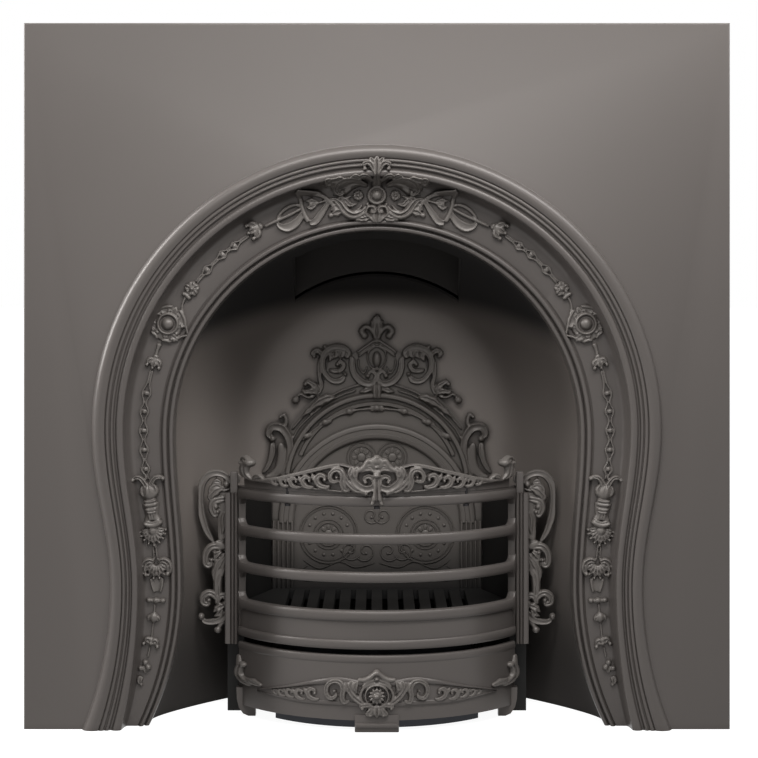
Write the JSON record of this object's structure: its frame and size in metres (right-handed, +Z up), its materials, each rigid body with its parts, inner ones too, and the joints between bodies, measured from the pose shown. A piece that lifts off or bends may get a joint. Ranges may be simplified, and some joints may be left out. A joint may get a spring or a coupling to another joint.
{
  "type": "cast iron fireplace insert",
  "caption": "Cast iron register fireplace: square plate with a moulded horseshoe arch, splayed niche, ornate fireback, bowed fire basket, damper and ash pan.",
  "frame": {"origin": "on the hearth, in the middle of the whole fireplace's width and depth", "axes": "+X to the right as seen from the room, +Y from the room into the chimney, +Z up"},
  "size_m": [0.965, 0.283, 0.965],
  "materials": {
    "polished_casting": "black-leaded satin",
    "blackened_casting": "matt black-leaded",
    "screw_steel": "zinc plated",
    "pan_sheet": "matt black"
  },
  "bodies": {
    "root": {"fascia": "polished_casting", "niche": "blackened_casting", "niche_screws": "screw_steel", "throat_frame": "blackened_casting", "frame_screws": "screw_steel", "frame_nuts": "screw_steel", "damper_pin": "screw_steel", "fireback": "blackened_casting", "fireback_nuts": "screw_steel", "left_cheek": "blackened_casting", "right_cheek": "blackened_casting", "cheek_screws": "screw_steel", "cheek_nuts": "screw_steel"},
    "damper": {"damper_flap": "blackened_casting", "damper_eye": "screw_steel"},
    "basket_front": {"front_bars": "polished_casting", "top_crest": "polished_casting", "crest_screws": "screw_steel", "left_wing": "polished_casting", "right_wing": "polished_casting", "wing_screws": "screw_steel"},
    "grate": {"bottom_grate": "blackened_casting"},
    "cover": {"ash_cover": "polished_casting"},
    "pan": {"ash_pan": "pan_sheet", "ash_pan_handle": "pan_sheet", "handle_rivets": "screw_steel"}
  },
  "joints": [
    {"name": "damper_hinge", "type": "hinge", "parent": "root", "child": "damper", "pos_m": [0, 0.0905, 0.7221], "axis": [-1, 0, 0], "range_deg": [0, 70]},
    {"name": "basket_front_lift", "type": "slide", "parent": "root", "child": "basket_front", "axis": [0, 0, 1], "range_m": [0, 0.018]},
    {"name": "grate_lift", "type": "slide", "parent": "root", "child": "grate", "axis": [0, 0, 1], "range_m": [0, 0.12]},
    {"name": "ash_cover_pull", "type": "slide", "parent": "root", "child": "cover", "axis": [0, -1, 0], "range_m": [0, 0.3]},
    {"name": "ash_pan_slide", "type": "slide", "parent": "root", "child": "pan", "axis": [0, -1, 0], "range_m": [0, 0.24]}
  ],
  "couplings": [
    {"joint": "ash_pan_slide", "follows": "ash_cover_pull", "ratio": 0.8}
  ]
}
